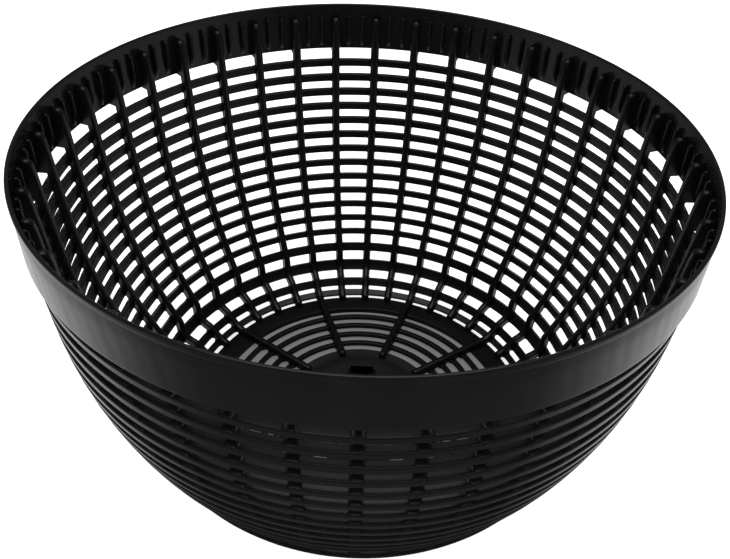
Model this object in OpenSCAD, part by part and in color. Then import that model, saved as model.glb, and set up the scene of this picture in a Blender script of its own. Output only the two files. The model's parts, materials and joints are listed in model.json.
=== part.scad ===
// Inner basket of a salad spinner: a round moulded bowl of open lattice.
// Hoops run round the outside and upright ribs run down the inside. The two
// meet on one smooth surface, the wall line, which is worked out below.
// Frame: millimetres, +Z up, origin on the table under the centre of the hub.
// Spoke 1 points along +Y.

/* [Rim] */
// Outside radius of the rolled lip
rim_r = 125; // [120:0.5:130]
// Height of the lip above the start of the wall line
rim_rise = 22.2; // [21:0.1:24]
// How far the band below the lip stands back from it
band_step = 0.3; // [0.2:0.1:0.8]
// Thickness of the band
band_t = 1.2; // [1:0.1:2]
// Height of the lip
lip_h = 2.5; // [2:0.1:4]
// Height of the bottom edge of the band above the start of the wall line
band_foot = 1.4; // [0.8:0.1:2]

/* [Wall line] */
// Radius of the wall line at its start
wall_r = 120.2; // [119.5:0.1:121]
// Lean of the straight upper wall from the vertical, in degrees
wall_lean = 4.1; // [4:0.1:5]
// Length of the straight upper wall
wall_straight = 20; // [18:1:22]
// Radius of the long curve below it
wall_curve_r = 174; // [172:0.5:178]
// Length of that curve
wall_curve_len = 95.5; // [93:0.5:97]
// Radius of the corner into the floor
corner_r = 21.5; // [20:0.1:22]

/* [Hoops] */
// Spacing of the upper hoops, along the wall
hoop_pitch = 7.25; // [7.2:0.05:7.4]
// Height of an upper hoop, along the wall
hoop_h = 3.1; // [2.5:0.1:3.6]
// How far an upper hoop stands out from the wall line
hoop_depth = 3.2; // [2.4:0.1:3.2]
// How far the four hoops round the corner stand out
base_depth = 2.2; // [2:0.1:3.2]
// Distance from the start of the wall line to the middle of hoop 1
hoop_first = 4.5; // [4.2:0.1:4.8]
// Chamfer on the outer edges of a hoop
hoop_chamfer = 0.6; // [0.2:0.1:1]
// Heights of the four hoops round the corner, from the top
base_hoops = [4.5, 6.3, 4.2, 3.1];
// Gaps above each of those four, and below the last one
base_gaps = [4.5, 4.3, 3.6, 2.2, 1.7];

/* [Ribs] */
// Spokes, the long ribs that run on across the floor
spokes = 10; // [8:1:12]
// Short ribs between two spokes
ribs_between = 3; // [2:1:4]
// Width of a rib
rib_w = 3.4; // [2.6:0.1:4]
// How far a rib stands in from the wall line
rib_depth = 3; // [2:0.1:4]
// Distance from the top of the lip down to the top of a rib
rib_drop = 5; // [4.5:0.1:9]
// Distance from the top of the lip down to the top of a small fin
fin_drop = 4.6; // [4:0.1:8]
// Thickness of a small fin
fin_t = 1.4; // [1:0.1:2]
// How far a small fin stands in from the band
fin_depth = 2.2; // [1.5:0.1:2.8]

/* [Floor] */
// Thickness of the outer floor, and height of the floor's top
floor_t = 3; // [2.6:0.1:3.4]
// Thickness of the floor rings
ring_t = 2.3; // [1:0.1:2.6]
// Spacing of the slots in the floor
slot_pitch = 6.8; // [6.4:0.1:6.9]
// Width of a slot in the floor
slot_w = 4.6; // [4:0.1:5]
// Radius of the middle of the outer slot
slot_r = 65.6; // [64:0.1:66]
// Number of slots from the outer floor to the hub
slots = 5; // [3:1:5]

/* [Hub] */
// Radius at which the dome starts to rise
dome_r = 30.5; // [27:0.5:31]
// Height of the dome above the floor
dome_h = 10; // [8:0.5:12]
// Thickness of the dome
dome_t = 2; // [1.6:0.1:2.4]
// Radius of the pivot bore under the hub
bore_r = 4; // [3:0.1:4.5]
// Depth of the pivot bore
bore_depth = 10; // [8:0.5:10]
// Outside radius of the pivot boss
boss_r = 6.5; // [6:0.1:8]
// Width of the drive dog on the dome
dog_w = 12.9; // [11:0.1:14]
// Thickness of the drive dog
dog_t = 2; // [1.4:0.1:4]
// Height of the flat between the dog's ears
dog_flat = 22; // [20:0.5:23]
// Height of the ears above the flat
ear_h = 2.9; // [2:0.1:4]
// Radius of the post under the dog
post_r = 4.8; // [4:0.1:6]

/* [Hidden] */
$fn = 96;
sectors = 360 / spokes;
ribs = spokes * (ribs_between + 1);
columns = 360 / ribs;
hoops_upper = 13;
hoops = hoops_upper + len(base_hoops);
floor_rings = slots - 1;

// Total of the first n entries of a list
function total(list, n) = n <= 0 ? 0 : list[n - 1] + total(list, n - 1);

// Distances along the wall line of the upper and lower edge of hoop j
upper_end = hoop_first + (hoops_upper - 1) * hoop_pitch + hoop_h / 2;
function hoop_top(j) = j <= hoops_upper
    ? hoop_first + (j - 1) * hoop_pitch - hoop_h / 2
    : upper_end + total(base_hoops, j - hoops_upper - 1) + total(base_gaps, j - hoops_upper);
function hoop_bottom(j) = hoop_top(j) + (j <= hoops_upper ? hoop_h : base_hoops[j - hoops_upper - 1]);
wall_end = hoop_bottom(hoops) + base_gaps[len(base_hoops)];

// Slope of the wall line from the vertical at distance s, in degrees
curve_end = wall_straight + wall_curve_len;
corner_slope = wall_lean + wall_curve_len / wall_curve_r * 180 / PI;
function slope(s) = s < wall_straight ? wall_lean
    : s < curve_end ? wall_lean + (s - wall_straight) / wall_curve_r * 180 / PI
    : corner_slope + (s - curve_end) / corner_r * 180 / PI;

// Step [inward, down] along an arc of radius r between two slopes
function arc_step(r, a, b) = [r * (cos(a) - cos(b)), r * (sin(b) - sin(a))];
function fall(s) = s < wall_straight ? [s * sin(wall_lean), s * cos(wall_lean)]
    : s < curve_end ? fall_straight + arc_step(wall_curve_r, wall_lean, slope(s))
    : fall_curve + arc_step(corner_r, corner_slope, slope(s));
fall_straight = [wall_straight * sin(wall_lean), wall_straight * cos(wall_lean)];
fall_curve = fall_straight + arc_step(wall_curve_r, wall_lean, corner_slope);
wall_z = floor_t + fall(wall_end)[1];
height = wall_z + rim_rise;
band_bottom = wall_z + band_foot;

// Point of the wall line at distance s, moved out by d along the wall's normal
function wall(s, d = 0) = [wall_r - fall(s)[0] + d * cos(slope(s)), wall_z - fall(s)[1] - d * sin(slope(s))];

// Points on an arc of radius r round c, from angle a to angle b
function arc(c, r, a, b, n = 8) = [for (i = [0:n]) c + r * [cos(a + (b - a) * i / n), sin(a + (b - a) * i / n)]];

// Places along the wall line where the ribs turn: both edges of every hoop
stations = [for (j = [1:hoops]) each [hoop_top(j), hoop_bottom(j)]];

black = [0.07, 0.07, 0.08];
gloss = [0.11, 0.11, 0.13];

// Stands an outline of [radius, height] points upright at azimuth a from +Y
module upright(a, thickness) {
    rotate([0, 0, 90 - a]) rotate([90, 0, 0])
        translate([0, 0, -thickness / 2]) linear_extrude(thickness) children();
}

// Rolled lip and the plain band below it
module rim_band() {
    band_r = rim_r - band_step;
    inner = band_r - band_t;
    lip_r = 0.7;
    color(gloss) rotate_extrude() polygon(concat(
        [[inner, band_bottom], [band_r - 0.4, band_bottom], [band_r, band_bottom + 0.4]],
        [[band_r, height - lip_h - band_step], [rim_r, height - lip_h]],
        arc([rim_r - lip_r, height - lip_r], lip_r, 0, 90),
        arc([inner + lip_r, height - lip_r], lip_r, 90, 180)));
}

// Two small fins in each column that carry the lid, between the ribs
module lid_seat_fins() {
    back = rim_r - band_step - band_t;
    top = height - fin_drop;
    color(black) for (i = [0:ribs - 1], k = [1:2])
        upright(columns * (i + k / 3), fin_t)
            polygon(concat(
                [[back, band_bottom + 1], [back, top]],
                arc([back - 0.2, top - (fin_depth - 0.2)], fin_depth - 0.2, 90, 180),
                [[back - fin_depth, band_bottom + 7]]));
}

// Hoop j of the wall, outside the wall line
module wall_hoop(j) {
    a = hoop_top(j);
    b = hoop_bottom(j);
    c = hoop_chamfer;
    d = j <= hoops_upper ? hoop_depth : base_depth;
    color(black) rotate_extrude() polygon([
        wall(a), wall(a, d - c), wall(a + c, d), wall(b - c, d), wall(b, d - c), wall(b)]);
}

// Outline shared by the ribs: against the band and the hoops on the outside,
// rounded over under the lid on the inside
module rib_outline(foot) {
    back = rim_r - band_step - band_t;
    top = height - rib_drop;
    nose = wall(-(top - wall_z), -rib_depth)[0];
    nose_r = 2.2;
    polygon(concat(
        [[back, top]],
        arc([nose + nose_r, top - nose_r], nose_r, 90, 180),
        [for (s = concat([0], stations, [wall_end])) wall(s, -rib_depth)],
        foot,
        [for (i = [len(stations) - 1:-1:0]) wall(stations[i])],
        [wall(-band_foot), [back, band_bottom]]));
}

// The short ribs of sector i, which stop on the outer floor
module wall_ribs(i) {
    edge = wall(wall_end)[0];
    foot = [[edge - 2.6, floor_t + 1.6], [edge - 2.9, floor_t], [edge, floor_t]];
    color(black) for (k = [1:ribs_between])
        upright(sectors * (i - 1) + columns * k, rib_w) rib_outline(foot);
}

// Spoke i, which runs down the wall and across the floor to the dome
module spoke(i) {
    edge = wall(wall_end)[0];
    crest = floor_t + rib_depth;
    tip = dome_r + 0.3;
    foot = concat([[edge - 3, crest], [tip + 2, crest]], [[tip, floor_t + 1.4], [tip, floor_t], [edge, floor_t]]);
    color(black) upright(sectors * (i - 1), rib_w) rib_outline(foot);
}

// A flat ring between two radii and two heights
module flat_ring(r_in, r_out, z_low, z_high) {
    rotate_extrude() translate([r_in, z_low]) square([r_out - r_in, z_high - z_low]);
}

// Plain outer floor, which also stands on the table
module floor_rim() {
    color(black) flat_ring(slot_r + slot_w / 2, wall(wall_end)[0], 0, floor_t);
}

// Ring j of the floor, counted from the outside
module floor_ring(j) {
    outer = slot_r - slot_w / 2 - slot_pitch * (j - 1);
    color(black) flat_ring(outer - (slot_pitch - slot_w), outer, floor_t - ring_t, floor_t);
}

// Dome in the middle of the floor, with the pivot bore in a boss under it
module hub_dome() {
    outer = slot_r - slot_w / 2 - slot_pitch * floor_rings;
    low = floor_t - ring_t;
    crown = floor_t + dome_h;
    ball_r = (dome_r * dome_r + dome_h * dome_h) / (2 * dome_h);
    ball_z = crown - ball_r;
    inner_r = ball_r - dome_t;
    skirt = sqrt(inner_r * inner_r - (low - ball_z) * (low - ball_z));
    mouth = crown - dome_t - 0.5 - bore_depth;
    color(gloss) rotate_extrude() polygon(concat(
        [[skirt, low], [outer, low], [outer, floor_t]],
        arc([0, ball_z], ball_r, acos(dome_r / ball_r), 90, 16),
        [[0, mouth + bore_depth], [bore_r, mouth + bore_depth], [bore_r, mouth], [boss_r, mouth]],
        arc([0, ball_z], inner_r, acos(boss_r / inner_r), acos(skirt / inner_r), 12)));
}

// Dog on the dome that the lid drives: a post and a plate with two raised ears
module drive_dog() {
    crown = floor_t + dome_h;
    plate_z = crown + 2;
    half = dog_w / 2;
    color(gloss) rotate([0, 0, -sectors / 2]) union() {
        translate([0, 0, crown]) cylinder(r = post_r, h = plate_z - crown + 1);
        translate([0, dog_t / 2, 0]) rotate([90, 0, 0]) linear_extrude(dog_t) polygon([
            [-half, plate_z], [half, plate_z], [half, dog_flat + ear_h - 0.5],
            [half - 0.8, dog_flat + ear_h], [half - 3.2, dog_flat],
            [3.2 - half, dog_flat], [0.8 - half, dog_flat + ear_h], [-half, dog_flat + ear_h - 0.5]]);
    }
}

rim_band();
lid_seat_fins();
for (j = [1:hoops]) wall_hoop(j);
for (i = [1:spokes]) wall_ribs(i);
for (i = [1:spokes]) spoke(i);
floor_rim();
for (j = [1:floor_rings]) floor_ring(j);
hub_dome();
drive_dog();
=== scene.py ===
# %% [markdown]
# # The inner basket of a salad spinner
# This notebook dresses a finished CAD model. The basket is one black moulding: a plain band at the
# rim, seventeen hoops round the outside, forty upright ribs inside, a slotted floor and a domed hub.
# The CAD model gives every size, and here each of its nodes gets a finer mesh with the rounded edges,
# noses and fillets that a mould leaves, and a plastic finish built from shader nodes.

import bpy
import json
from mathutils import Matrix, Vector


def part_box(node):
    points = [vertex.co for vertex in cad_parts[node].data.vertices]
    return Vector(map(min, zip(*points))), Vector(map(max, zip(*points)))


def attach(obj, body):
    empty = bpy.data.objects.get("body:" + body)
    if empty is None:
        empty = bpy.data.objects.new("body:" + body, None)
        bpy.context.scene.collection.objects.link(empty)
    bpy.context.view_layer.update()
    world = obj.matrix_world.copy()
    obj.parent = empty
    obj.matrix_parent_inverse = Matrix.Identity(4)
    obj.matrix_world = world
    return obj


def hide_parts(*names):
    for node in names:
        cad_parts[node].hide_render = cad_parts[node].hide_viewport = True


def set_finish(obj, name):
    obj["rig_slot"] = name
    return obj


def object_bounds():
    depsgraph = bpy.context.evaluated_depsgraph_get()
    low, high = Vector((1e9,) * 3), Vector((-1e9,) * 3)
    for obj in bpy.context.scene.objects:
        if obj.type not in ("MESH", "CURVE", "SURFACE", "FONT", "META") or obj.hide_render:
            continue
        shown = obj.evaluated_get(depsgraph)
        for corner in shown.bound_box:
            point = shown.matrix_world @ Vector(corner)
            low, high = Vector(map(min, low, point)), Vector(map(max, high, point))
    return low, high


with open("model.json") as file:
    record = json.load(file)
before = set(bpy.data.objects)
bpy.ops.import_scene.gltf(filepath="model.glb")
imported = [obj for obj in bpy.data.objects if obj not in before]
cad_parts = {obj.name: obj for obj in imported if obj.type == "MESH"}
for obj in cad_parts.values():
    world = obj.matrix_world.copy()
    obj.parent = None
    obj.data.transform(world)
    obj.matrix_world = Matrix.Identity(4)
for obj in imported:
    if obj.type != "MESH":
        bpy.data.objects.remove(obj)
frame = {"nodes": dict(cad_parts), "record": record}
cad_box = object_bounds()
print("nodes:", len(frame["nodes"]), "box:", [round(v, 4) for corner in cad_box for v in corner])

# %% Bring in what the rest needs
import json
import math

import bmesh
import bpy
from mathutils import Vector

MM = 0.001
RIM_TOP = cad_box[1].z
SPOKES = sum(name.startswith("spoke_") for name in frame["nodes"])
HOOPS = sum(name.startswith("wall_hoop_") for name in frame["nodes"])
FLOOR_RINGS = sum(name.startswith("floor_ring_") for name in frame["nodes"])
print(SPOKES, "spokes,", HOOPS, "hoops,", FLOOR_RINGS, "floor rings")
print("rim at", round(RIM_TOP / MM, 1), "mm")

# %% [markdown]
# ## Camera
# The camera goes first, because it decides how much detail shows. It stands close to the basket and
# above the rim, so the near side looks much larger than the far side. A small lens shift keeps the rim
# in the frame without tilting the camera further, as a photographer does with a view camera.

# %% Stand the camera in front of the basket
CAMERA_AZIMUTH = math.radians(-17.866)
CAMERA_REACH = 276.811 * MM
CAMERA_ABOVE_RIM = 149.582 * MM
CAMERA_TURN = [math.radians(angle) for angle in (46.233, -2.629, -17.338)]

lens = bpy.data.cameras.new("camera")
lens.sensor_width = 36
lens.lens = 41.382
lens.shift_x = -0.02466
lens.shift_y = 0.11849
lens.clip_start = 0.01
camera = bpy.data.objects.new("camera", lens)
camera.location = (CAMERA_REACH * math.sin(CAMERA_AZIMUTH), -CAMERA_REACH * math.cos(CAMERA_AZIMUTH),
                   RIM_TOP + CAMERA_ABOVE_RIM)
camera.rotation_euler = CAMERA_TURN
bpy.context.scene.collection.objects.link(camera)
bpy.context.scene.camera = camera
print("camera at", [round(v, 3) for v in camera.location])

# %% [markdown]
# ## Reading sizes from the frame
# Almost every piece is turned about the spin axis, so a CAD node is known by the radius and height of
# its corners. The hoops hold the most: the longest side of a hoop's outline is its inner face, and all
# those inner faces lie on one smooth line, the wall line. A curve through their ends gives the wall at
# any distance down it.

# %% Read the outline of a turned node
def outline_of(node):
    """The distinct (radius, height) corners of a turned CAD node, in order round its middle."""
    corners = {(round(v.co.xy.length, 5), round(v.co.z, 5)) for v in frame["nodes"][node].data.vertices}
    middle = Vector([sum(axis) / len(corners) for axis in zip(*corners)])
    return sorted(map(Vector, corners), key=lambda p: math.atan2(p.y - middle.y, p.x - middle.x))


def inner_face(node):
    """The upper and lower end of a hoop's inner face, which is the longest side of its outline."""
    corners = outline_of(node)
    sides = zip(corners, corners[1:] + corners[:1])
    longest = max(sides, key=lambda side: (side[1] - side[0]).length)
    return sorted(longest, key=lambda p: -p.y)


hoop_faces = [inner_face(f"wall_hoop_{j + 1}") for j in range(HOOPS)]
print("hoop 1's inner face:", [tuple(round(v / MM, 2) for v in p) for p in hoop_faces[0]])

# %% Find the sizes that the pieces share
spoke_low, spoke_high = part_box("spoke_1")
RIB_WIDTH = spoke_high.x - spoke_low.x
RIB_TOP = spoke_high.z
HUB_END = spoke_low.y
FLOOR_EDGE, FLOOR_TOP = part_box("floor_rim")[1].yz
FLOOR_PART = 0.8 * FLOOR_EDGE
CREST_TOP = max(v.co.z for v in frame["nodes"]["spoke_1"].data.vertices if v.co.y < FLOOR_PART)
RIB_DEPTH = CREST_TOP - FLOOR_TOP
BAND_INNER = min(p.x for p in outline_of("rim_band"))
BAND_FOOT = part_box("rim_band")[0].z
FIN_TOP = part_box("lid_seat_fins")[1].z
print("ribs", round(RIB_WIDTH / MM, 2), "mm wide and", round(RIB_DEPTH / MM, 2), "mm deep")

# %% Draw the wall line through the hoops
class WallLine:
    """The wall in section: a smooth curve through given points, measured by the distance down it."""

    def __init__(self, points):
        self.points = points
        self.stops = [0.0]
        for a, b in zip(points, points[1:]):
            self.stops.append(self.stops[-1] + (b - a).length)
        self.slopes = [self.slope_at(i) for i in range(len(points))]

    def slope_at(self, i):
        """The direction of the curve at point i, from its two neighbours."""
        before, after = max(i - 1, 0), min(i + 1, len(self.points) - 1)
        if before == i or after == i:
            return (self.points[after] - self.points[before]).normalized()
        near, far = self.stops[i] - self.stops[before], self.stops[after] - self.stops[i]
        back = (self.points[i] - self.points[before]) / near
        ahead = (self.points[after] - self.points[i]) / far
        return ((back * far + ahead * near) / (near + far)).normalized()

    def at(self, distance, out=0.0):
        """The point at that distance down the wall, moved out along the wall's normal."""
        past_end = distance - self.stops[-1]
        if distance <= 0:
            along, place = self.slopes[0], self.points[0] + self.slopes[0] * distance
        elif past_end >= 0:
            along, place = self.slopes[-1], self.points[-1] + self.slopes[-1] * past_end
        else:
            i = max(k for k, stop in enumerate(self.stops) if stop <= distance)
            span = self.stops[i + 1] - self.stops[i]
            t = (distance - self.stops[i]) / span
            start, end = self.points[i], self.points[i + 1]
            out_slope, in_slope = self.slopes[i] * span, self.slopes[i + 1] * span
            place = (start * (2 * t**3 - 3 * t**2 + 1) + out_slope * (t**3 - 2 * t**2 + t)
                     + end * (3 * t**2 - 2 * t**3) + in_slope * (t**3 - t**2))
            along = (self.slopes[i] * (1 - t) + self.slopes[i + 1] * t).normalized()
        return place + Vector((-along.y, along.x)) * out


wall = WallLine([p for face in hoop_faces for p in face] + [Vector((FLOOR_EDGE, FLOOR_TOP))])
WALL_END = wall.stops[-1]
print("the wall line is", round(WALL_END / MM, 1), "mm long")

# %% [markdown]
# ## Meshes as lofts
# A turned ring and a swept rib are both lofts: copies of one outline, joined with quads. For a ring
# the copies stand round the axis, and for a rib they follow its crest. So one small loft function
# makes nearly all of the basket, and the outlines carry the detail. Corners are rounded in the
# outline, with a short arc, because a moulding has no sharp edges, and those small arcs are what catch
# the light.

# %% Round the corners of an outline
def rounded(corners, steps=3):
    """An outline from (x, y, radius) corners, with an arc at each corner that has a radius."""
    points = []
    for i, (x, y, radius) in enumerate(corners):
        corner = Vector((x, y))
        if not radius:
            points.append(corner)
            continue
        back = (Vector(corners[i - 1][:2]) - corner).normalized()
        ahead = (Vector(corners[(i + 1) % len(corners)][:2]) - corner).normalized()
        half = back.angle(ahead) / 2
        centre = corner + (back + ahead).normalized() * (radius / math.sin(half))
        first = corner + back * (radius / math.tan(half)) - centre
        last = corner + ahead * (radius / math.tan(half)) - centre
        for k in range(steps + 1):
            points.append(centre + first.slerp(last, k / steps) * radius)
    return points


square = [(0, 0, 1), (9, 0, 1), (9, 9, 1), (0, 9, 1)]
print("a square with round corners has", len(rounded(square)), "points")

# %% Join rings of points with quads
def loft(bm, rings, around=False):
    """Joins rings of equally many points. Closed round the axis, or with a cap on each end."""
    rows = [[bm.verts.new(point) for point in ring] for ring in rings]
    for one, two in zip(rows, rows[1:] + rows[:1] if around else rows[1:]):
        for quad in zip(one, one[1:] + one[:1], two[1:] + two[:1], two):
            bm.faces.new(quad)
    if not around:
        bm.faces.new(rows[0][::-1])
        bm.faces.new(rows[-1])


def stand(radius, height, azimuth, aside=0.0):
    """The point at that radius, height and azimuth from +Y, moved aside along the azimuth."""
    return (radius * math.sin(azimuth) + aside * math.cos(azimuth),
            radius * math.cos(azimuth) - aside * math.sin(azimuth), height)


print("a point on spoke 1:", stand(FLOOR_EDGE, FLOOR_TOP, 0))

# %% Turn a mesh into a finished piece
pieces = {}
WELD = 0.001 * MM
FACE_WEIGHT = 90


def finish_piece(bm, node, slot):
    """Makes the piece that stands for a CAD node. It rides on the basket's one body."""
    bmesh.ops.remove_doubles(bm, verts=bm.verts, dist=WELD)
    bmesh.ops.dissolve_degenerate(bm, edges=bm.edges, dist=WELD)
    bmesh.ops.recalc_face_normals(bm, faces=bm.faces)
    for face in bm.faces:
        face.smooth = True
    mesh = bpy.data.meshes.new(node + "_moulded")
    bm.to_mesh(mesh)
    bm.free()
    piece = bpy.data.objects.new(node + "_moulded", mesh)
    bpy.context.scene.collection.objects.link(piece)
    piece.modifiers.new("even_shading", "WEIGHTED_NORMAL").weight = FACE_WEIGHT
    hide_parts(node)
    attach(piece, "root")
    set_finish(piece, slot)
    pieces[node] = piece


print("pieces so far:", len(pieces))

# %% [markdown]
# ## Rim band
# The band is the stiff ring that people hold. Its lip is a rolled bead that stands a little proud,
# with a fine groove under it where the two halves of the mould meet. The plastic shrinks where a rib
# or a fin joins the back of the band, and leaves a shallow sink mark on the front. The marks are far
# too shallow to measure by eye, but they bend reflections, so they are made as real waves in the mesh,
# leaning slightly as they drop.

# %% Shape the band
LIP_HEIGHT = 2.5 * MM
LIP_ROUND = 0.7 * MM
GROOVE = 0.25 * MM
FACE_TOP = RIM_TOP - 6 * MM
FACE_ROWS = 7
band_outer = max(p.x for p in outline_of("rim_band") if p.y < RIM_TOP - 2 * LIP_HEIGHT)
lip_outer = cad_box[1].x
band_outline = rounded([
    (BAND_INNER, BAND_FOOT, 0.4 * MM),
    (band_outer, BAND_FOOT, 0.5 * MM),
    *[(band_outer, BAND_FOOT + (FACE_TOP - BAND_FOOT) * k / FACE_ROWS, 0) for k in range(1, FACE_ROWS + 1)],
    (band_outer - GROOVE, RIM_TOP - LIP_HEIGHT - 0.3 * MM, 0.3 * MM),
    (lip_outer, RIM_TOP - LIP_HEIGHT + 0.4 * MM, 0.5 * MM),
    (lip_outer, RIM_TOP, LIP_ROUND),
    (BAND_INNER, RIM_TOP, LIP_ROUND)])
print("the band's outline has", len(band_outline), "points")

# %% Sink marks on the band
COLUMNS = 4 * SPOKES
MARKS = 3 * COLUMNS
BAND_TURNS = 8 * MARKS
SINK = 0.08 * MM
LEAN = math.radians(2.2)


def sink_at(azimuth, height):
    """How far the band's face sinks there: deeper behind each rib, shallower behind each fin."""
    drop = (RIM_TOP - height) / (RIM_TOP - BAND_FOOT)
    turned = azimuth + LEAN * drop
    ribs = (0.5 + 0.5 * math.cos(COLUMNS * turned)) ** 6
    fins = (0.5 + 0.5 * math.cos(MARKS * turned)) ** 2
    drift = 0.6 + 0.4 * math.sin(7 * azimuth + 2.1 * drop) * math.cos(3 * azimuth - 1.3)
    fade_out = min(1.0, 4 * drop) * min(1.0, 3 * (1.05 - drop))
    return SINK * (0.7 * ribs + 0.45 * fins) * drift * fade_out


band_rings = []
for k in range(BAND_TURNS):
    azimuth = 2 * math.pi * k / BAND_TURNS
    ring = []
    for point in band_outline:
        on_face = point.x > band_outer - 0.01 * MM and point.y < RIM_TOP - LIP_HEIGHT
        sunk = sink_at(azimuth, point.y) if on_face else 0.0
        ring.append(stand(point.x - sunk, point.y, azimuth))
    band_rings.append(ring)
bm = bmesh.new()
loft(bm, band_rings, around=True)
finish_piece(bm, "rim_band", "band_black")
print("rim band:", len(pieces["rim_band"].data.vertices), "vertices")

# %% [markdown]
# ## Hoops and floor rings
# A hoop or a floor ring is a flat strip that other members cross. Where they cross, the mould's cutter
# leaves a small fillet, which rounds the corners of every slot. It is made here by letting the strip's
# edges flare towards each crossing. Columns of points are only dense near the crossings, where the
# fillet needs them.

# %% Flare a strip towards its crossings
FILLET = 0.9 * MM
FILLET_STOPS = (0.0, 0.12, 0.35, 0.65, 1.0)


def flare(gap):
    """How far a strip's edge stands out at that gap from a crossing's side: a quarter circle."""
    return FILLET - math.sqrt(FILLET**2 - (FILLET - min(max(gap, 0.0), FILLET)) ** 2)


def columns_round(radius, crossings, width, spans):
    """(azimuth, gap to the nearest crossing) all the way round a strip of that radius."""
    pitch = 2 * math.pi / crossings
    half = width / 2 / radius
    near = [half + FILLET * stop / radius for stop in FILLET_STOPS]
    far = [near[-1] + (pitch - 2 * near[-1]) * k / spans for k in range(1, spans)]
    steps = [0.0] + near + far + [pitch - a for a in reversed(near)]
    for crossing in range(crossings):
        for step in steps:
            yield crossing * pitch + step, (min(step, pitch - step) - half) * radius


print("columns round a hoop:", len(list(columns_round(0.12, COLUMNS, RIB_WIDTH, 4))))

# %% Build a strip round the axis
def strip(node, outline, place, breadth, share, crossings, spans):
    """A ring of the lattice whose outline is in the strip's own flat coordinates: along it, and out
    from it. place turns those into a radius and a height, breadth is the strip's middle and half
    width, and share says how much of the flare the edges have at that distance out."""
    middle, half = breadth
    radius = place(middle, 0.0).x
    bm = bmesh.new()
    rings = []
    for azimuth, gap in columns_round(radius, crossings, RIB_WIDTH, spans):
        spread = flare(gap)
        ring = []
        for point in outline:
            along = point.x + spread * share(point.y) * (point.x - middle) / half
            ring.append(stand(*place(along, point.y), azimuth))
        rings.append(ring)
    loft(bm, rings, around=True)
    finish_piece(bm, node, "lattice_black")


print("a strip's fillets have", len(FILLET_STOPS), "stops")

# %% The seventeen hoops
HOOP_ROUND = 0.55 * MM
INNER_ROUND = 0.25 * MM
HOOP_SPANS = 4


def hoop_depth(j):
    """How far hoop j stands out: from its inner face to the far side of its CAD outline."""
    upper, lower = hoop_faces[j]
    across = (lower - upper).normalized()
    return max(abs((p - upper).cross(across)) for p in outline_of(f"wall_hoop_{j + 1}"))


def hoop(j):
    """Hoop j, a strip along the wall line that stands out from it."""
    top, bottom = wall.stops[2 * j], wall.stops[2 * j + 1]
    middle, half, depth = (top + bottom) / 2, (bottom - top) / 2, hoop_depth(j)
    rows = [middle + half * k / 2 for k in (-1, 0, 1)]
    outline = rounded([
        (top, 0.0, INNER_ROUND), (top, depth, HOOP_ROUND),
        *[(row, depth, 0) for row in rows],
        (bottom, depth, HOOP_ROUND), (bottom, 0.0, INNER_ROUND),
        *[(row, 0.0, 0) for row in reversed(rows)]])
    strip(f"wall_hoop_{j + 1}", outline, wall.at, (middle, half),
          lambda out: 1 - out / depth, COLUMNS, HOOP_SPANS)


for j in range(HOOPS):
    hoop(j)
print("hoops stand out by", round(hoop_depth(0) / MM, 2), "mm")

# %% [markdown]
# ## Floor
# The floor is a plain outer ring and four thin rings, level with each other on top, with spokes across
# them. They are strips too, laid flat, so the same function makes them: along is now the radius and
# out is the height.

# %% The outer floor and the floor rings
FLOOR_ROUND = 0.35 * MM
FLOOR_SPANS = 12


def floor_strip(node):
    """A flat ring of the floor, with its edges rounded and a fillet at each spoke."""
    outline = outline_of(node)
    inner, outer = min(p.x for p in outline), max(p.x for p in outline)
    low, high = min(p.y for p in outline), max(p.y for p in outline)
    middle, half = (inner + outer) / 2, (outer - inner) / 2
    corners = rounded([(inner, low, FLOOR_ROUND), (inner, high, FLOOR_ROUND), (middle, high, 0),
                       (outer, high, FLOOR_ROUND), (outer, low, FLOOR_ROUND), (middle, low, 0)])
    strip(node, corners, lambda along, out: Vector((along, out)), (middle, half),
          lambda out: 0.0 if node == "floor_rim" else 1.0, SPOKES, FLOOR_SPANS)


for node in ["floor_rim"] + [f"floor_ring_{j + 1}" for j in range(FLOOR_RINGS)]:
    floor_strip(node)
print("floor strips:", FLOOR_RINGS + 1)

# %% [markdown]
# ## Ribs, spokes and fins
# Each of these is a ridge that stands on the wall, the floor or the band. Its crest is a path in
# section: over a round nose at the top, down the wall, and on to the foot. At each stop on that path
# the loft needs three things: the crest itself, the direction into the ridge, and the point on the
# base behind it. The crest is rounded across and the root flares a little, as on any rib that has to
# slide out of its mould.

# %% Build a ridge along a crest
class Stop:
    """A place on a ridge's crest: the crest, the direction into the ridge, and the base behind it."""

    def __init__(self, crest, base, into=None):
        self.crest, self.base = Vector(crest), Vector(base)
        self.into = Vector(into) if into else (self.base - self.crest).normalized()


def nose(centre, radius, start, end, base_from, base_to, steps=6):
    """Stops round a nose: the crest is an arc between two angles in degrees, the base a straight line."""
    stops = []
    for k in range(steps + 1):
        angle = math.radians(start + (end - start) * k / steps)
        out = Vector((math.cos(angle), math.sin(angle)))
        base = Vector(base_from).lerp(Vector(base_to), k / steps)
        stops.append(Stop(Vector(centre) + out * radius, base, -out))
    return stops


CREST_STEPS = 8
ROOT_CURVE = ((0.0, 1.0), (0.35, 0.3), (1.0, 0.0))


def ridge(bm, azimuth, stops, width, crown, root):
    """Lofts a ridge: half an ellipse at the crest, straight sides, and a flare at the root."""
    half = width / 2
    rings = []
    for stop in stops:
        shoulder = stop.crest + stop.into * crown
        rise = (shoulder - stop.base).normalized() * root
        side = [(stop.base + rise * up, half + root * wider) for up, wider in ROOT_CURVE]
        turns = [math.pi * k / CREST_STEPS for k in range(CREST_STEPS + 1)]
        over = [(shoulder - stop.into * crown * math.sin(turn), half * math.cos(turn)) for turn in turns]
        ring = side + over + [(place, -aside) for place, aside in reversed(side)]
        rings.append([stand(place.x, place.y, azimuth, aside) for place, aside in ring])
    loft(bm, rings)


print("a nose of 6 steps has", len(nose((0, 0), 1, 0, 90, (1, 0), (1, 1))), "stops")

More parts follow.
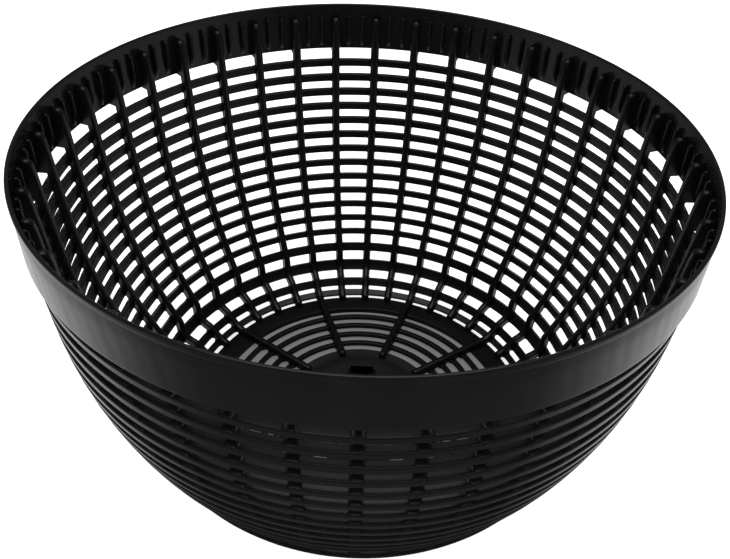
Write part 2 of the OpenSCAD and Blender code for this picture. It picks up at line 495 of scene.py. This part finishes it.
# %% The path that ribs and spokes share down the wall
EMBED = 0.2 * MM
NOSE = 2.2 * MM
CROWN = 1.3 * MM
ROOT = 0.25 * MM
BAND_BACK = BAND_INNER + EMBED
START = wall.points[0].y - BAND_FOOT
BAND_STEPS, WALL_STEPS, LAST_STEPS = 6, 64, 8


def wall_stops():
    """Stops from the band, over the nose under the lid, and down the wall to the floor's edge."""
    front = wall.at(wall.points[0].y - RIB_TOP, -RIB_DEPTH).x
    centre = (front + NOSE, RIB_TOP - NOSE)
    shoulder = (BAND_BACK, RIB_TOP - CROWN - ROOT)
    stops = [Stop((BAND_BACK, RIB_TOP), shoulder, (0, -1))]
    stops += nose(centre, NOSE, 90, 180, shoulder, (BAND_BACK, RIB_TOP - NOSE - ROOT))
    under_nose = RIB_TOP - NOSE - ROOT
    for k in range(1, BAND_STEPS + 1):
        height = under_nose + (BAND_FOOT - under_nose) * k / BAND_STEPS
        stops.append(Stop(wall.at(wall.points[0].y - height, -RIB_DEPTH), (BAND_BACK, height)))
    first = START + 0.1 * MM
    for k in range(WALL_STEPS + 1):
        along = first + (WALL_END - first) * k / WALL_STEPS
        sunk = EMBED * min(1.0, (WALL_STEPS - k) / LAST_STEPS)
        stops.append(Stop(wall.at(along, -RIB_DEPTH), wall.at(along, sunk)))
    return stops


down_the_wall = wall_stops()
print("stops down the wall:", len(down_the_wall))

# %% The short ribs, three in each sector
RIBS_BETWEEN = COLUMNS // SPOKES - 1
SECTOR = 2 * math.pi / SPOKES
FOOT = 1.6 * MM
FLOOR_BASE = FLOOR_TOP - 0.35 * MM


def foot_stops():
    """Stops over the round foot, from the end of the wall down to the outer floor."""
    last = down_the_wall[-1]
    centre = last.crest + last.into * FOOT
    angle = math.degrees(math.atan2(-last.into.y, -last.into.x))
    toe = (centre.x - FOOT + CROWN + ROOT, FLOOR_BASE)
    stops = nose(centre, FOOT, angle, 180, (FLOOR_EDGE, FLOOR_BASE), toe)
    return stops + [Stop((centre.x - FOOT, FLOOR_BASE), toe, (1, 0))]


short_rib = down_the_wall + foot_stops()
for sector in range(SPOKES):
    bm = bmesh.new()
    for k in range(RIBS_BETWEEN):
        ridge(bm, SECTOR * (sector + (k + 1) / (RIBS_BETWEEN + 1)), short_rib, RIB_WIDTH, CROWN, ROOT)
    finish_piece(bm, f"wall_ribs_{sector + 1}", "lattice_black")
print("short ribs:", RIBS_BETWEEN * SPOKES)

# %% The spokes, which run on across the floor
CORNER_GAP = 1.5 * MM
FLOOR_STEPS = 8


def spoke_stops():
    """Stops down the wall, then level across the floor, and down a nose at the hub."""
    stops = [Stop((stop.crest.x, max(stop.crest.y, CREST_TOP)), stop.base, stop.into)
             for stop in down_the_wall]
    first, last = stops[-1].crest.x - CORNER_GAP, HUB_END + FOOT
    for k in range(FLOOR_STEPS + 1):
        radius = first + (last - first) * k / FLOOR_STEPS
        stops.append(Stop((radius, CREST_TOP), (radius, FLOOR_BASE)))
    toe = (HUB_END + CROWN + ROOT, FLOOR_BASE)
    stops += nose((last, CREST_TOP - FOOT), FOOT, 105, 180, (last, FLOOR_BASE), toe, 5)
    return stops + [Stop((HUB_END, FLOOR_BASE), toe, (1, 0))]


spoke = spoke_stops()
for i in range(SPOKES):
    bm = bmesh.new()
    ridge(bm, SECTOR * i, spoke, RIB_WIDTH, CROWN, ROOT)
    finish_piece(bm, f"spoke_{i + 1}", "lattice_black")
print("spokes:", SPOKES, "with", len(spoke), "stops each")

# %% The small fins that carry the lid
FIN_WIDTH = 1.4 * MM
FIN_CROWN = 0.5 * MM
FIN_NOSE = 1.1 * MM
FIN_ROOT = 0.15 * MM
FIN_TAPER = 7 * MM
FIN_LOW = 1.8 * MM
FIN_LOW_DEPTH = 0.8 * MM
fin_front = min(v.co.xy.length for v in frame["nodes"]["lid_seat_fins"].data.vertices)
shoulder = (BAND_BACK, FIN_TOP - FIN_CROWN - FIN_ROOT)
fin = [Stop((BAND_BACK, FIN_TOP), shoulder, (0, -1))]
fin += nose((fin_front + FIN_NOSE, FIN_TOP - FIN_NOSE), FIN_NOSE, 90, 180,
            shoulder, (BAND_BACK, FIN_TOP - FIN_NOSE - FIN_ROOT))
for crest, height in ((fin_front, FIN_TAPER), (BAND_BACK - FIN_LOW_DEPTH, FIN_LOW)):
    fin.append(Stop((crest, BAND_FOOT + height), (BAND_BACK, BAND_FOOT + height)))
bm = bmesh.new()
for i in range(COLUMNS):
    for k in (1, 2):
        ridge(bm, 2 * math.pi * (i + k / 3) / COLUMNS, fin, FIN_WIDTH, FIN_CROWN, FIN_ROOT)
finish_piece(bm, "lid_seat_fins", "lattice_black")
print("fins:", 2 * COLUMNS)

# %% [markdown]
# ## Hub
# The dome is turned in one loft whose outline starts and ends on the axis: over the top, round the
# flange, and back under it past the boss and up into the pivot bore. The flange's outer edge bounds
# the innermost slots, so it gets the same fillets at the spokes. A wide fillet leads from the flat
# flange into the dome.

# %% The dome with its flange, boss and bore
DOME_WALL = 2.0 * MM
DOME_FILLET = 6 * MM
BOSS_ROUND = 0.4 * MM
BORE = next(mount for mount in frame["record"]["mounts"] if mount["name"] == "pivot_bore")
bore_radius, bore_length = BORE["dims"]["r_mm"] * MM, BORE["dims"]["length_mm"] * MM
bore_mouth = BORE["pos_m"][2] - bore_length / 2
hub_corners = outline_of("hub_dome")
hub_outer = max(p.x for p in hub_corners)
hub_low = min(p.y for p in hub_corners if p.x > 0.95 * hub_outer)
crown_top = max(p.y for p in hub_corners)
boss_radius = min(p.x for p in hub_corners if p.x > bore_radius + MM)
dome_foot = max(p.x for p in hub_corners if abs(p.y - FLOOR_TOP) < 0.01 * MM and p.x < hub_outer - MM)


def ball(radius_at_foot, rise, top, first, last, steps):
    """Points on a spherical cap of that foot radius and rise, between two radii from the axis."""
    ball_radius = (radius_at_foot**2 + rise**2) / (2 * rise)
    for k in range(steps + 1):
        x = first + (last - first) * k / steps
        yield x, top - ball_radius + math.sqrt(ball_radius**2 - x**2), 0


rise = crown_top - FLOOR_TOP
under_foot = dome_foot - 1.5 * MM
dome_outline = rounded([
    *ball(dome_foot, rise, crown_top, 0.0, dome_foot - 3.5 * MM, 9),
    (dome_foot, FLOOR_TOP, DOME_FILLET),
    (hub_outer, FLOOR_TOP, FLOOR_ROUND), (hub_outer, hub_low, FLOOR_ROUND),
    (under_foot, hub_low, 1.0 * MM),
    *ball(under_foot, rise - DOME_WALL + FLOOR_TOP - hub_low, crown_top - DOME_WALL,
          under_foot - 2.5 * MM, boss_radius + 2 * MM, 7),
    (boss_radius, crown_top - DOME_WALL - 0.3 * MM, 0.8 * MM),
    (boss_radius, bore_mouth, BOSS_ROUND), (bore_radius, bore_mouth, BOSS_ROUND),
    (bore_radius, bore_mouth + bore_length, 0.5 * MM), (0.0, bore_mouth + bore_length, 0)])
bm = bmesh.new()
dome_rings = []
for azimuth, gap in columns_round(hub_outer, SPOKES, RIB_WIDTH, FLOOR_SPANS):
    spread = flare(gap) / (hub_outer - dome_foot)
    dome_rings.append([stand(p.x + spread * max(0.0, p.x - dome_foot), p.y, azimuth) for p in dome_outline])
loft(bm, dome_rings, around=True)
bmesh.ops.remove_doubles(bm, verts=bm.verts, dist=WELD)
bmesh.ops.delete(bm, geom=[edge for edge in bm.edges if not edge.link_faces], context="EDGES")
finish_piece(bm, "hub_dome", "hub_black")
print("dome: radius", round(dome_foot / MM, 1), "mm, rise", round(rise / MM, 1), "mm")

# %% The drive dog: a post, and a plate with two ears
DOG_AZIMUTH = math.pi / SPOKES
EAR_HEIGHT = 2.9 * MM
EAR_ROOT = 3.2 * MM
EAR_TIP = 0.8 * MM
DOG_EDGE = 0.3 * MM
EAR_ROUND = 0.3 * MM
PLATE_ROUND = 0.4 * MM
POST_SHOWS = 2 * MM
POST_SIDES = 48
dog_vertices = [v.co for v in frame["nodes"]["drive_dog"].data.vertices]
dog_top = max(v.z for v in dog_vertices)
dog_half = max(abs(v.x * math.cos(DOG_AZIMUTH) - v.y * math.sin(DOG_AZIMUTH)) for v in dog_vertices)
dog_depth = max(abs(v.x * math.sin(DOG_AZIMUTH) + v.y * math.cos(DOG_AZIMUTH))
                for v in dog_vertices if v.z > dog_top - EAR_HEIGHT)
post_radius = max(v.xy.length for v in dog_vertices if v.z < crown_top + 0.5 * MM)
plate_low = crown_top + POST_SHOWS
flat = dog_top - EAR_HEIGHT
right_ear = [(dog_half, dog_top - 0.5 * MM, EAR_ROUND), (dog_half - EAR_TIP, dog_top, EAR_ROUND),
             (dog_half - 2 * MM, flat + 0.9 * MM, 1.2 * MM), (dog_half - EAR_ROOT, flat, 0.8 * MM)]
left_ear = [(-x, y, radius) for x, y, radius in reversed(right_ear)]
plate_foot = [(x, plate_low, PLATE_ROUND) for x in (-dog_half, dog_half)]
dog_outline = rounded(plate_foot + right_ear + left_ear)
bm = bmesh.new()
front = bm.faces.new([bm.verts.new(stand(-dog_depth, p.y, DOG_AZIMUTH, p.x)) for p in dog_outline])
back = bmesh.ops.extrude_face_region(bm, geom=[front])["geom"]
through = Vector(stand(2 * dog_depth, 0, DOG_AZIMUTH))
bmesh.ops.translate(bm, vec=through, verts=[v for v in back if isinstance(v, bmesh.types.BMVert)])
bm.faces.ensure_lookup_table()
rims = {edge for face in bm.faces if len(face.verts) > 4 for edge in face.edges}
bmesh.ops.bevel(bm, geom=list(rims), offset=DOG_EDGE, segments=2, profile=0.5, affect="EDGES")
post_low, post_high = crown_top - MM, plate_low + MM
post = rounded([(0.0, post_low, 0), (post_radius, post_low, 0),
                (post_radius, post_high, 0.5 * MM), (0.0, post_high, 0)])
post_turns = [2 * math.pi * k / POST_SIDES for k in range(POST_SIDES)]
loft(bm, [[stand(p.x, p.y, turn) for p in post] for turn in post_turns], around=True)
bmesh.ops.remove_doubles(bm, verts=bm.verts, dist=WELD)
bmesh.ops.delete(bm, geom=[edge for edge in bm.edges if not edge.link_faces], context="EDGES")
finish_piece(bm, "drive_dog", "hub_black")
print("dog:", round(2 * dog_half / MM, 1), "mm wide and", round(2 * dog_depth / MM, 1), "mm thick")

# %% [markdown]
# ## Black plastic
# The whole basket is one black plastic, yet its surfaces differ: the band is polished in the mould,
# the lattice is duller, and the hub is the dullest. Every face has a fine skin from the tool. A flat
# black would show none of that, so colour, roughness and relief each follow noises of several sizes. A
# small class wraps a shader socket, so that the node maths below reads as ordinary arithmetic.

# %% Write shader maths as Python expressions
class Wire:
    """One output socket of a material's nodes. Arithmetic on it adds Math nodes."""

    def __init__(self, tree, socket=None):
        self.tree, self.socket = tree, socket

    def node(self, kind, settings=None, inputs=None, output=0):
        """Adds a node, sets it up, fills its sockets with numbers or links, and gives one output."""
        made = self.tree.nodes.new(kind)
        for name, value in (settings or {}).items():
            setattr(made, name, value)
        for name, value in (inputs or {}).items():
            if isinstance(value, Wire):
                self.tree.links.new(value.socket, made.inputs[name])
            else:
                made.inputs[name].default_value = value
        return Wire(self.tree, made.outputs[output])

    def maths(self, operation, *values):
        return self.node("ShaderNodeMath", {"operation": operation}, dict(enumerate(values)))

    def __add__(self, other):
        return self.maths("ADD", self, other)

    def __mul__(self, other):
        return self.maths("MULTIPLY", self, other)

    def __sub__(self, other):
        return self.maths("SUBTRACT", self, other)

    def __rsub__(self, other):
        return self.maths("SUBTRACT", other, self)

    __radd__ = __add__
    __rmul__ = __mul__


print("a wire can be added, subtracted and multiplied:", hasattr(Wire, "__rmul__"))

# %% One recipe for moulded plastic
FLOW_STRETCH = (1.0, 1.0, 0.12)
FLOW_SCALE = 95.0
CLOUD_SCALE = 38.0
SKIN_SCALE = 2600.0
PLASTIC_IOR = 1.5


def moulded_plastic(name, tone, dullness, skin, streaks):
    """Black plastic. tone is its colour, dullness its mean roughness, skin the depth of the tool's
    texture in metres, and streaks how much the flow of the melt shows."""
    material = bpy.data.materials.new(name)
    material.use_nodes = True
    tree = material.node_tree
    shader = next(node for node in tree.nodes if node.type == "BSDF_PRINCIPLED")
    start = Wire(tree)
    place = start.node("ShaderNodeTexCoord", output="Object")
    drawn = start.node("ShaderNodeVectorMath", {"operation": "MULTIPLY"}, {0: place, 1: FLOW_STRETCH})
    flow = start.node("ShaderNodeTexNoise", None,
                      {"Vector": drawn, "Scale": FLOW_SCALE, "Detail": 3.0, "Distortion": 0.4})
    cloud = start.node("ShaderNodeTexNoise", None, {"Vector": place, "Scale": CLOUD_SCALE, "Detail": 4.0})
    fine = start.node("ShaderNodeTexNoise", None, {"Vector": place, "Scale": SKIN_SCALE, "Detail": 2.0})
    pale = [level * 1.7 + 0.002 for level in tone]
    shade = cloud * 0.6 + flow * streaks
    colour = start.node("ShaderNodeMix", {"data_type": "RGBA"},
                        {"Factor": shade, 6: (*tone, 1), 7: (*pale, 1)}, output=2)
    rough = dullness + (cloud - 0.5) * 0.16 + (flow - 0.5) * 0.3 * streaks + (fine - 0.5) * 0.06
    height = fine * 0.7 + cloud * 0.3
    relief = start.node("ShaderNodeBump", None, {"Strength": 0.5, "Distance": skin, "Height": height})
    for socket, wire in (("Base Color", colour), ("Roughness", rough), ("Normal", relief)):
        tree.links.new(wire.socket, shader.inputs[socket])
    shader.inputs["IOR"].default_value = PLASTIC_IOR
    shader.inputs["Specular IOR Level"].default_value = 0.45
    return material


print("a recipe with three noises:", FLOW_SCALE, CLOUD_SCALE, SKIN_SCALE)

# %% A finish for the band, the lattice and the hub
finishes = {
    "band_black": moulded_plastic("band_black", (0.0035, 0.0035, 0.004), 0.18, 0.006 * MM, 0.5),
    "lattice_black": moulded_plastic("lattice_black", (0.003, 0.003, 0.0034), 0.27, 0.012 * MM, 0.2),
    "hub_black": moulded_plastic("hub_black", (0.011, 0.011, 0.012), 0.42, 0.01 * MM, 0.1)}
for node, piece in pieces.items():
    piece.data.materials.append(finishes[piece["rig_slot"]])
print("finishes:", sorted(finishes))

# %% [markdown]
# ## Studio
# Black plastic shows little but what it reflects, so the surroundings matter more than the lamps. The
# floor is plain and pale, and glows a little, so that it reads as white without hard light. Under the
# basket its colour and its glow are darkened by a painted shadow. Gloss would mirror a white floor as
# grey, so a second, dimmer floor stands in for it in reflections only, as a photographer lays a grey
# card out of view. The card is dark in front of the basket and pale at its sides, which draws the band
# as a round form, and under the basket it is darkened by a painted shade.

# %% Two kinds of stage material
def stage_plane(name, size, height, material):
    """A square of the studio, which isn't part of the basket."""
    bm = bmesh.new()
    bmesh.ops.create_grid(bm, x_segments=1, y_segments=1, size=size)
    mesh = bpy.data.meshes.new(name)
    bm.to_mesh(mesh)
    bm.free()
    plane = bpy.data.objects.new(name, mesh)
    plane.location.z = height
    plane.data.materials.append(material)
    bpy.context.scene.collection.objects.link(plane)
    return plane


def matt(name, level, glow):
    """A matt grey that gives light of its own: glow times level(place), a Wire over the floor.
    The result is the material, its shader and the Wire."""
    material = bpy.data.materials.new(name)
    material.use_nodes = True
    tree = material.node_tree
    shader = next(node for node in tree.nodes if node.type == "BSDF_PRINCIPLED")
    shader.inputs["Roughness"].default_value = 0.9
    shader.inputs["Specular IOR Level"].default_value = 0.0
    shader.inputs["Emission Strength"].default_value = glow
    shade = level(Wire(tree).node("ShaderNodeTexCoord", output="Object"))
    tree.links.new(shade.socket, shader.inputs["Emission Color"])
    return material, shader, shade


def fade(towards, low, high, first, last):
    """A level that goes smoothly from first to last as the wire towards goes from low to high."""
    ends = {"Value": towards, "From Min": low, "From Max": high, "To Min": first, "To Max": last}
    return towards.node("ShaderNodeMapRange", {"interpolation_type": "SMOOTHSTEP"}, ends)


def distance_of(place):
    """The distance of a place from the spin axis, on the floor."""
    return place.node("ShaderNodeVectorMath", {"operation": "LENGTH"}, {0: place}, output="Value")


STAGE_SIZE = 6.0
print("the stage is", 2 * STAGE_SIZE, "m wide")

# %% Pale floor, with a painted shadow under the basket
FLOOR_WHITE = 0.88
# Painted shadow: the level of the floor's colour and glow under the basket
UNDER_BASKET_PAINTED_SHADOW = 0.14
FLOOR_GLOW = 0.85


def floor_level_with_painted_shadow(place):
    """How pale the floor is at a place: a painted shadow under the basket, pale outside its foot."""
    return fade(distance_of(place), 0.87 * FLOOR_EDGE, 1.07 * FLOOR_EDGE, UNDER_BASKET_PAINTED_SHADOW, FLOOR_WHITE)


# The floor's colour and its glow both carry the painted shadow under the basket
pale_floor, shader, shade = matt("pale_floor", floor_level_with_painted_shadow, FLOOR_GLOW)
pale_floor.node_tree.links.new(shade.socket, shader.inputs["Base Color"])
floor = stage_plane("floor", STAGE_SIZE, 0.0, pale_floor)
floor.visible_glossy = False
print("floor:", floor.name)

# %% The card that the gloss sees instead
CARD_SIDES = 0.7
CARD_FRONT = 0.06
CARD_NEAR = 1.6
CARD_FAR = 0.5
# Painted shade: the card's light under the basket, where the floor lies in the basket's shadow
CARD_PAINTED_SHADE = 0.05
front_side = (math.sin(CAMERA_AZIMUTH), -math.cos(CAMERA_AZIMUTH), 0)


def card_level(place):
    """How much light the card gives at a place, with a painted shade under the basket. Its pattern is fixed
    to the floor.
    """
    heading = place.node("ShaderNodeVectorMath", {"operation": "NORMALIZE"}, {0: place})
    front = place.node("ShaderNodeVectorMath", {"operation": "DOT_PRODUCT"},
                       {0: heading, 1: front_side}, output="Value")
    away = distance_of(place)
    round_the_basket = fade(front, 0.1, 0.85, CARD_SIDES, CARD_FRONT)
    outwards = fade(away, 0.15, 0.45, CARD_NEAR, CARD_FAR)
    painted_shade_from_the_foot = fade(away, FLOOR_EDGE, 1.5 * FLOOR_EDGE, CARD_PAINTED_SHADE, 1.0)
    return round_the_basket * outwards * painted_shade_from_the_foot


grey_card, shader, _ = matt("grey_card", card_level, 1.0)
shader.inputs["Base Color"].default_value = (0, 0, 0, 1)
card = stage_plane("grey_card", STAGE_SIZE, -0.2 * MM, grey_card)
for ray in ("camera", "diffuse", "transmission", "volume_scatter", "shadow"):
    setattr(card, "visible_" + ray, False)
print("card:", card.name)

# %% [markdown]
# ## Light
# The light is one even sky, which gives the softest shadows that there are. What the gloss sees of it
# is another matter: a studio has dark walls and a bright ceiling, so a mirrored ray gets little light
# from the sides and much from overhead. The backdrop that the camera sees is a little brighter than
# the sky, so that it is plain white.

# %% Soft light from all round
SKY = 0.95
BACKDROP = 1.1
CEILING = 1.3
HORIZON = 0.1
CEILING_LOW, CEILING_HIGH = 0.84, 0.95
world = bpy.data.worlds.new("studio")
bpy.context.scene.world = world
world.use_nodes = True
sky = Wire(world.node_tree)
world.node_tree.nodes.clear()
direction = sky.node("ShaderNodeTexCoord", output="Generated")
upward = sky.node("ShaderNodeSeparateXYZ", None, {0: direction}, output="Z")
mirrored = fade(upward, CEILING_LOW, CEILING_HIGH, HORIZON, CEILING)
gloss = sky.node("ShaderNodeLightPath", output="Is Glossy Ray")
seen = sky.node("ShaderNodeLightPath", output="Is Camera Ray")
strength = SKY + gloss * (mirrored - SKY) + seen * (BACKDROP - SKY)
light = sky.node("ShaderNodeBackground", None, {"Color": (1, 1, 1, 1), "Strength": strength})
end = world.node_tree.nodes.new("ShaderNodeOutputWorld")
world.node_tree.links.new(light.socket, end.inputs["Surface"])
bpy.context.scene.view_settings.view_transform = "Standard"
print("sky:", SKY, "and for the gloss from", HORIZON, "at the sides to", CEILING, "overhead")

# %% Print the CAD box
print("CAD box", [round(v / MM, 2) for corner in cad_box for v in corner])
